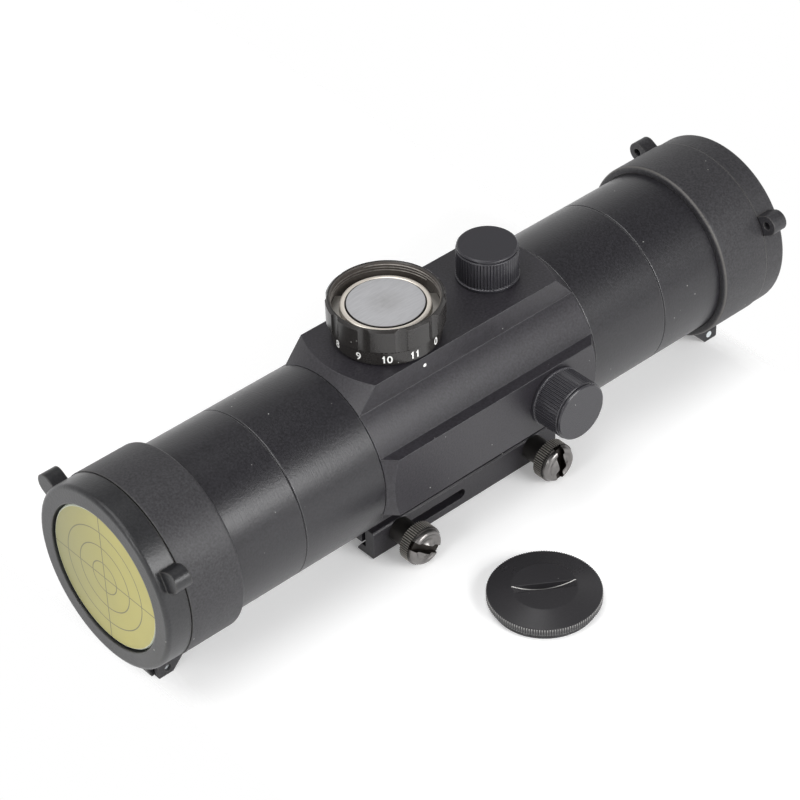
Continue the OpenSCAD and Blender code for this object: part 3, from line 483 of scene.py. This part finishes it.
face_depth = 2.4 * MM
head_depth = 5.4 * MM
knurl_depth = 0.3 * MM
screw_slot_half = 1.03 * MM
haze_mm = 1.6
for screw, side, slot_bearing in (("rear_clamp_screw", "rear", -33),
                                  ("front_clamp_screw", "front", 88)):
    low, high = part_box(screw)
    screw_middle = (low + high) / 2
    head_radius = (high.x - low.x) / 2
    bearing = math.radians(slot_bearing)
    oxide, tree, shader, place = new_material("rubbed black oxide steel, " + side)
    flat, reach = from_axis(tree, place, screw_middle, (1, 0, 1))
    split = add_node(tree, "ShaderNodeSeparateXYZ", {"Vector": place})
    behind_face = add_node(tree, "ShaderNodeMath", {
        0: split.outputs["Y"], 1: low.y + face_depth}, operation="GREATER_THAN")
    on_collar = add_node(tree, "ShaderNodeMath", {
        0: split.outputs["Y"], 1: low.y + head_depth}, operation="GREATER_THAN")
    haze = add_node(tree, "ShaderNodeTexNoise", {
        "Vector": place, "Scale": 1 / (haze_mm * MM), "Detail": 4})
    glossy = add_node(tree, "ShaderNodeMix", {
        "Factor": haze.outputs["Fac"], "A": srgb("#737170"), "B": srgb("#8d8a88")},
        data_type="RGBA")
    # The slot is painted dark: a painted shade in the recess.
    across = add_node(tree, "ShaderNodeVectorMath", {
        0: flat, 1: (-math.sin(bearing), 0, math.cos(bearing))}, operation="DOT_PRODUCT")
    from_slot = add_node(tree, "ShaderNodeMath", {
        0: across.outputs["Value"]}, operation="ABSOLUTE")
    shaded_slot = add_node(tree, "ShaderNodeMath", {
        0: from_slot.outputs["Value"], 1: screw_slot_half}, operation="LESS_THAN")
    face = add_node(tree, "ShaderNodeMix", {
        "Factor": shaded_slot.outputs["Value"], "A": glossy.outputs["Result"], "B": srgb("#2c2825")},
        data_type="RGBA")
    # Knurl valleys painted dark as a painted shade; tips painted pale, partly bare steel and
    # partly a painted highlight.
    tips = add_node(tree, "ShaderNodeMapRange", {
        "Value": reach, "From Min": head_radius - 0.9 * knurl_depth,
        "From Max": head_radius - 0.1 * knurl_depth})
    knurl = add_node(tree, "ShaderNodeMix", {
        "Factor": tips.outputs["Result"], "A": srgb("#1d1c1b"), "B": srgb("#a5a19b")},
        data_type="RGBA")
    head = add_node(tree, "ShaderNodeMix", {
        "Factor": behind_face.outputs["Value"], "A": face.outputs["Result"],
        "B": knurl.outputs["Result"]}, data_type="RGBA")
    tone = add_node(tree, "ShaderNodeMix", {
        "Factor": on_collar.outputs["Value"], "A": head.outputs["Result"], "B": srgb("#565452")},
        data_type="RGBA")
    tree.links.new(tone.outputs["Result"], shader.inputs["Base Color"])
    polish = add_node(tree, "ShaderNodeMapRange", {
        "Value": haze.outputs["Fac"], "To Min": 0.26, "To Max": 0.38})
    gloss = add_node(tree, "ShaderNodeMix", {
        "Factor": on_collar.outputs["Value"], "A": polish.outputs["Result"], "B": 0.5})
    tree.links.new(gloss.outputs["Result"], shader.inputs["Roughness"])
    on_knurl = add_node(tree, "ShaderNodeMath", {
        0: behind_face.outputs["Value"], 1: on_collar.outputs["Value"]}, operation="SUBTRACT")
    metal = add_node(tree, "ShaderNodeMapRange", {
        "Value": on_knurl.outputs["Value"], "To Min": 1, "To Max": 0.3})
    tree.links.new(metal.outputs["Result"], shader.inputs["Metallic"])
    finish_nodes(oxide, screw)

# Lens cap sleeves and lids
# Injection moulded ABS with softly rounded edges. The sleeves and the front lid have a
# fine spark-eroded texture and look dry, and the rear lid came from a smoother mould. A pale
# line along the front sleeve's lip is a painted highlight on its crest. All the edges are
# painted paler, partly scuffed wear and partly a painted highlight.


def moulded_abs(name, dark, light, rough):
    """Black ABS with the grit of its mould, dust in patches, and edges painted paler, partly
    scuffed wear and partly a painted highlight. The grit is drawn coarser than the real one, so
    that it shows."""
    cloud_mm, grit_mm, dust_spacing_mm, bite_mm, edge_mm = 7, 0.5, 4.2, 0.07, 0.5
    gloss_spread = 0.06
    material, tree, shader, place = new_material(name)
    cloud = add_node(tree, "ShaderNodeTexNoise", {
        "Vector": place, "Scale": 1 / (cloud_mm * MM), "Detail": 3})
    texture = add_node(tree, "ShaderNodeTexNoise", {
        "Vector": place, "Scale": 1 / (grit_mm * MM), "Detail": 2})
    pits = add_node(tree, "ShaderNodeMapRange", {
        "Value": texture.outputs["Fac"], "From Min": 0.3, "From Max": 0.7})
    tone = add_node(tree, "ShaderNodeMix", {
        "Factor": pits.outputs["Result"], "A": srgb(dark), "B": srgb(light)}, data_type="RGBA")
    dust = dust_specks(tree, place, dust_spacing_mm, 0.045, cloud)
    dusted = add_node(tree, "ShaderNodeMix", {
        "Factor": dust, "A": tone.outputs["Result"], "B": srgb("#a8a8a4")}, data_type="RGBA")
    rounded, edge = rubbed_edges(tree, edge_mm, samples=6, flat=0.995, sharp=0.85, wear_and_highlight=0.5)
    # The edges are painted paler: partly scuffed wear, partly a painted highlight.
    scuffed_and_highlit = add_node(tree, "ShaderNodeMix", {
        "Factor": edge, "A": dusted.outputs["Result"], "B": srgb("#5c5a57")}, data_type="RGBA")
    tree.links.new(scuffed_and_highlit.outputs["Result"], shader.inputs["Base Color"])
    gloss = add_node(tree, "ShaderNodeMapRange", {
        "Value": cloud.outputs["Fac"], "To Min": rough - gloss_spread,
        "To Max": rough + gloss_spread})
    tree.links.new(gloss.outputs["Result"], shader.inputs["Roughness"])
    bump = add_node(tree, "ShaderNodeBump", {
        "Height": texture.outputs["Fac"], "Strength": 0.5, "Distance": bite_mm * MM,
        "Normal": rounded})
    tree.links.new(bump.outputs["Normal"], shader.inputs["Normal"])
    return material


low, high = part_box("front_cap_sleeve")
lip_line = low.x + 0.35 * MM
lip_edge, lip_core = 0.3 * MM, 0.1 * MM
sleeve_finish = moulded_abs("textured black abs", "#1d1c1f", "#333235", rough=0.5)
tree, shader, moulded, place = reopened(sleeve_finish)
split = add_node(tree, "ShaderNodeSeparateXYZ", {"Vector": place})
# A pale line painted along the front sleeve's lip: a painted highlight on its crest.
off_lip = add_node(tree, "ShaderNodeMath", {
    0: split.outputs["X"], 1: lip_line}, operation="SUBTRACT")
from_lip = add_node(tree, "ShaderNodeMath", {0: off_lip.outputs["Value"]}, operation="ABSOLUTE")
highlit_lip = add_node(tree, "ShaderNodeMapRange", {
    "Value": from_lip.outputs["Value"], "From Min": lip_edge, "From Max": lip_core, "To Max": 0.5})
tone = add_node(tree, "ShaderNodeMix", {
    "Factor": highlit_lip.outputs["Result"], "A": moulded, "B": srgb("#66635f")}, data_type="RGBA")
tree.links.new(tone.outputs["Result"], shader.inputs["Base Color"])
finish_nodes(sleeve_finish, "rear_cap_sleeve", "front_cap_sleeve", "front_lid", "led_bracket")

rear_lid_finish = moulded_abs("smooth black abs", "#19191b", "#262628", rough=0.34)
finish_nodes(rear_lid_finish, "rear_lid")

# Hinge pins
# Short lengths of zinc-plated wire pressed through the ears, cropped flush and pale at
# their ends.
zinc = two_toned("zinc-plated steel wire", 0.3, "#ccd4d8", "#f0f4f6", rough=0.4, metal=0.4,
                 detail=3)
finish_nodes(zinc, "rear_hinge_pin", "front_hinge_pin")

# Lid windows
# Amber polycarbonate discs snapped in behind the lids, printed with hair-fine aiming
# rings and a cross. Their sawn rim is painted pale all round, a painted highlight, and the
# discs are painted darker towards their far side.
line_half = 0.13 * MM
print_rings = (4.0 * MM, 8.3 * MM, 12.5 * MM)
tint_mm = 12
sawn_from, sawn_to = 16.7 * MM, 16.9 * MM
fade_from, fade_to = -6 * MM, 16 * MM
amber, tree, shader, place = new_material("printed amber polycarbonate")
split = add_node(tree, "ShaderNodeSeparateXYZ", {"Vector": place})
rise = add_node(tree, "ShaderNodeMath", {
    0: split.outputs["Z"], 1: axis_height}, operation="SUBTRACT")
_, reach = from_axis(tree, place, (0, 0, axis_height), (0, 1, 1))
print_lines = [split.outputs["Y"], rise.outputs["Value"]]
for ring in print_rings:
    off = add_node(tree, "ShaderNodeMath", {0: reach, 1: ring}, operation="SUBTRACT")
    print_lines.append(off.outputs["Value"])
print_ink = 0
for line in print_lines:
    near = add_node(tree, "ShaderNodeMath", {0: line}, operation="ABSOLUTE")
    hit = add_node(tree, "ShaderNodeMath", {
        0: near.outputs["Value"], 1: line_half}, operation="LESS_THAN")
    print_ink = add_node(tree, "ShaderNodeMath", {
        0: print_ink, 1: hit.outputs["Value"]}, operation="MAXIMUM").outputs["Value"]
tint = add_node(tree, "ShaderNodeTexNoise", {"Vector": place, "Scale": 1 / (tint_mm * MM)})
body = add_node(tree, "ShaderNodeMix", {
    "Factor": tint.outputs["Fac"], "A": srgb("#9d954c"), "B": srgb("#aca457")}, data_type="RGBA")
# The rim painted pale all round: a painted highlight.
rim_highlight = add_node(tree, "ShaderNodeMapRange", {
    "Value": reach, "From Min": sawn_from, "From Max": sawn_to})
# The disc painted darker towards its far side.
far_side = add_node(tree, "ShaderNodeMapRange", {
    "Value": split.outputs["Y"], "From Min": fade_from, "From Max": fade_to})
darker_far_side = add_node(tree, "ShaderNodeMix", {
    "Factor": far_side.outputs["Result"], "A": body.outputs["Result"], "B": srgb("#848154")},
    data_type="RGBA")
rim_highlight_tone = add_node(tree, "ShaderNodeMix", {
    "Factor": rim_highlight.outputs["Result"], "A": darker_far_side.outputs["Result"], "B": srgb("#d5dccb")},
    data_type="RGBA")
tone = add_node(tree, "ShaderNodeMix", {
    "Factor": print_ink, "A": rim_highlight_tone.outputs["Result"], "B": srgb("#625f3c")}, data_type="RGBA")
tree.links.new(tone.outputs["Result"], shader.inputs["Base Color"])
shader.inputs["Roughness"].default_value = 0.35
finish_nodes(amber, "rear_lid_window", "front_lid_window")

# Battery cap
# Turned and fine knurled, with a shallow dish and a coin slot. A bright line along the slot's
# floor is a painted highlight, brightest towards the slot's ends. The knurl's tips are painted
# pale, partly wear and partly a painted highlight that grows towards the top. It lies on its
# threaded neck.
low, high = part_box("battery_cap")
cap_middle = (low + high) / 2
cap_radius = (high.x - low.x) / 2
slot_turn = math.radians(-34)
slot_half = 1 * MM
slot_sweep = 14.575 * MM
slot_centre_height = low.z + 17.225 * MM
line_edge, floor_core, wall_core = 0.16 * MM, 0.08 * MM, 0.06 * MM
highlight_from, highlight_to = 1 * MM, 5 * MM
tip_from, tip_to = cap_radius - 0.15 * MM, cap_radius - 0.02 * MM
rim_from, rim_to = low.z + 2.5 * MM, low.z + 3.3 * MM
cap_finish = black_anodised("milled and knurled black anodised aluminium", "#2b2a2c", "#2e2d2f",
                            rough=0.27, grit_mm=0.4, bite_mm=0.004, wear_and_highlight=0)
tree, shader, dyed, place = reopened(cap_finish)
local = add_node(tree, "ShaderNodeMapping", {
    "Vector": place, "Rotation": (0, 0, slot_turn),
    "Location": (cap_middle.x, cap_middle.y, slot_centre_height)}, vector_type="TEXTURE")
split = add_node(tree, "ShaderNodeSeparateXYZ", {"Vector": local.outputs["Vector"]})
_, sweep = from_axis(tree, local.outputs["Vector"], (0, 0, 0), (1, 0, 1))
# A bright line painted along the slot's floor: a painted highlight, brightest towards the slot's
# ends.
off_floor = add_node(tree, "ShaderNodeMath", {0: sweep, 1: slot_sweep}, operation="SUBTRACT")
from_floor = add_node(tree, "ShaderNodeMath", {
    0: off_floor.outputs["Value"]}, operation="ABSOLUTE")
on_floor = add_node(tree, "ShaderNodeMapRange", {
    "Value": from_floor.outputs["Value"], "From Min": line_edge, "From Max": floor_core})
off_wall = add_node(tree, "ShaderNodeMath", {
    0: split.outputs["Y"], 1: slot_half}, operation="SUBTRACT")
from_wall = add_node(tree, "ShaderNodeMath", {0: off_wall.outputs["Value"]}, operation="ABSOLUTE")
at_wall = add_node(tree, "ShaderNodeMapRange", {
    "Value": from_wall.outputs["Value"], "From Min": line_edge, "From Max": wall_core})
junction = add_node(tree, "ShaderNodeMath", {
    0: on_floor.outputs["Result"], 1: at_wall.outputs["Result"]}, operation="MULTIPLY")
from_middle = add_node(tree, "ShaderNodeMath", {0: split.outputs["X"]}, operation="ABSOLUTE")
highlight_toward_ends = add_node(tree, "ShaderNodeMapRange", {
    "Value": from_middle.outputs["Value"], "From Min": highlight_from, "From Max": highlight_to,
    "To Min": 0.3})
line = add_node(tree, "ShaderNodeMath", {
    0: junction.outputs["Value"], 1: highlight_toward_ends.outputs["Result"]}, operation="MULTIPLY")
# The knurl's tips painted pale: partly wear, partly a painted highlight that grows towards the top
# of the rim.
_, reach = from_axis(tree, local.outputs["Vector"], (0, 0, 0), (1, 1, 0))
tips = add_node(tree, "ShaderNodeMapRange", {
    "Value": reach, "From Min": tip_from, "From Max": tip_to})
rise = add_node(tree, "ShaderNodeSeparateXYZ", {"Vector": place})
highlit_top = add_node(tree, "ShaderNodeMapRange", {
    "Value": rise.outputs["Z"], "From Min": rim_from, "From Max": rim_to, "To Min": 0.12,
    "To Max": 0.65})
rubbed_and_highlit_tips = add_node(tree, "ShaderNodeMath", {
    0: tips.outputs["Result"], 1: highlit_top.outputs["Result"]}, operation="MULTIPLY")
pale_wear_and_highlight = add_node(tree, "ShaderNodeMath", {
    0: line.outputs["Value"], 1: rubbed_and_highlit_tips.outputs["Value"]}, operation="MAXIMUM")
tone = add_node(tree, "ShaderNodeMix", {
    "Factor": pale_wear_and_highlight.outputs["Value"], "A": dyed, "B": srgb("#cfcdca")}, data_type="RGBA")
tree.links.new(tone.outputs["Result"], shader.inputs["Base Color"])
finish_nodes(cap_finish, "battery_cap")

neck_radius = 11.84 * MM
neck_thread = thread_ridge("cap_neck_thread", cap_middle, neck_radius, foot=low.z + 0.35 * MM,
                           pitch=0.4 * MM, turns=1.2, apex_out=True)
neck_thread.data.materials.append(cap_finish)
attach(neck_thread, "loose_cap")

# Table and light
# A white sweep in a studio with pale walls and a dark ceiling. A wide overhead box lights
# it, a side box draws a streak along the tubes, and a left box catches the seams. Past the
# finder's ends the sweep fades to the backdrop, so that a lid shows where it swings below.
floor_level = cad_box[0][2]
finder_end = cad_box[1][0]
fade_from, fade_to = finder_end - 11 * MM, finder_end - 3 * MM
horizon_from, horizon_to = 250 * MM, 500 * MM
sweep_glow = 0.2
bpy.ops.object.select_all(action="DESELECT")
bpy.ops.mesh.primitive_plane_add(size=4, location=(0, 0, floor_level))
table = bpy.context.object
table.name = "table"
paper, tree, shader, place = new_material("white paper sweep")
shader.inputs["Base Color"].default_value = srgb("#f6f6f6")
shader.inputs["Roughness"].default_value = 0.9
path = add_node(tree, "ShaderNodeLightPath")
direct = add_node(tree, "ShaderNodeMath", {
    0: path.outputs["Is Camera Ray"], 1: path.outputs["Is Glossy Ray"]}, operation="MAXIMUM")
seen = add_node(tree, "ShaderNodeMath", {
    0: direct.outputs["Value"], 1: path.outputs["Is Transmission Ray"]}, operation="MAXIMUM")
glow = add_node(tree, "ShaderNodeMath", {
    0: seen.outputs["Value"], 1: sweep_glow}, operation="MULTIPLY")
shader.inputs["Emission Color"].default_value = (1, 1, 1, 1)
tree.links.new(glow.outputs["Value"], shader.inputs["Emission Strength"])
split = add_node(tree, "ShaderNodeSeparateXYZ", {"Vector": place})
along = add_node(tree, "ShaderNodeMath", {0: split.outputs["X"]}, operation="ABSOLUTE")
past_ends = add_node(tree, "ShaderNodeMapRange", {
    "Value": along.outputs["Value"], "From Min": fade_from, "From Max": fade_to})
away = add_node(tree, "ShaderNodeVectorMath", {0: place}, operation="LENGTH")
far_off = add_node(tree, "ShaderNodeMapRange", {
    "Value": away.outputs["Value"], "From Min": horizon_from, "From Max": horizon_to})
open_floor = add_node(tree, "ShaderNodeMath", {
    0: past_ends.outputs["Result"], 1: far_off.outputs["Result"]}, operation="MAXIMUM")
straight = add_node(tree, "ShaderNodeMath", {
    0: path.outputs["Is Camera Ray"], 1: path.outputs["Is Shadow Ray"]}, operation="MAXIMUM")
see_through = add_node(tree, "ShaderNodeMath", {
    0: open_floor.outputs["Value"], 1: straight.outputs["Value"]}, operation="MULTIPLY")
clear = add_node(tree, "ShaderNodeBsdfTransparent")
sweep_surface = add_node(tree, "ShaderNodeMixShader", {
    0: see_through.outputs["Value"], 1: shader.outputs["BSDF"], 2: clear.outputs["BSDF"]})
tree.links.new(sweep_surface.outputs["Shader"], tree.nodes["Material Output"].inputs["Surface"])
table.data.materials.append(paper)

wall_level, ceiling_level = 0.86, 0.14
world = bpy.data.worlds.new("studio")
bpy.context.scene.world = world
world.use_nodes = True
tree = world.node_tree
outlook = add_node(tree, "ShaderNodeTexCoord")
sky = add_node(tree, "ShaderNodeSeparateXYZ", {"Vector": outlook.outputs["Generated"]})
level = add_node(tree, "ShaderNodeMapRange", {
    "Value": sky.outputs["Z"], "From Min": 0.25, "From Max": 0.85, "To Min": wall_level,
    "To Max": ceiling_level}, interpolation_type="SMOOTHSTEP")
background = tree.nodes["Background"]
background.inputs["Color"].default_value = (1, 1, 1, 1)
path = add_node(tree, "ShaderNodeLightPath")
strength = add_node(tree, "ShaderNodeMix", {
    "Factor": path.outputs["Is Camera Ray"], "A": level.outputs["Result"], "B": 1})
tree.links.new(strength.outputs["Result"], background.inputs["Strength"])


def soft_box(name, place, aim, size, radiance):
    """A soft box of a width and height at a place, turned to its aim, in metres."""
    light = bpy.data.lights.new(name, "AREA")
    light.shape = "RECTANGLE"
    light.size, light.size_y = size
    light.energy = radiance * math.pi * size[0] * size[1]
    holder = bpy.data.objects.new(name, light)
    bpy.context.scene.collection.objects.link(holder)
    holder.location = place
    holder.rotation_euler = (Vector(aim) - Vector(place)).to_track_quat("-Z", "Y").to_euler()


rear_tube_aim = (-0.03, 0, 0.03)
soft_box("overhead box", (-0.28, 0.1, 0.9), (-0.1, 0, 0), size=(0.85, 0.85), radiance=2.5)
soft_box("left box", (-0.8, -0.15, 0.45), rear_tube_aim, size=(0.24, 0.24), radiance=9)
soft_box("side box", (0.06, -0.45, 0.275), rear_tube_aim, size=(0.32, 0.18), radiance=9.5)

# Camera
# A long lens at the photograph's own place, which was fitted to the circles that it shows,
# and leaned two degrees.
camera_place = Vector((-335.3, -379.9, 434.06)) * MM
azimuth, elevation, lean = math.radians(-40.614), math.radians(39.144), math.radians(-2.012)
view = bpy.data.cameras.new("camera")
view.sensor_width = 36
view.lens = 130.73
camera = bpy.data.objects.new("camera", view)
bpy.context.scene.collection.objects.link(camera)
camera.matrix_world = (Matrix.Translation(camera_place)
                       @ Matrix.Rotation(azimuth, 4, "Z")
                       @ Matrix.Rotation(math.pi / 2 - elevation, 4, "X")
                       @ Matrix.Rotation(lean, 4, "Z"))
bpy.context.scene.camera = camera
bpy.context.scene.view_settings.view_transform = "Standard"
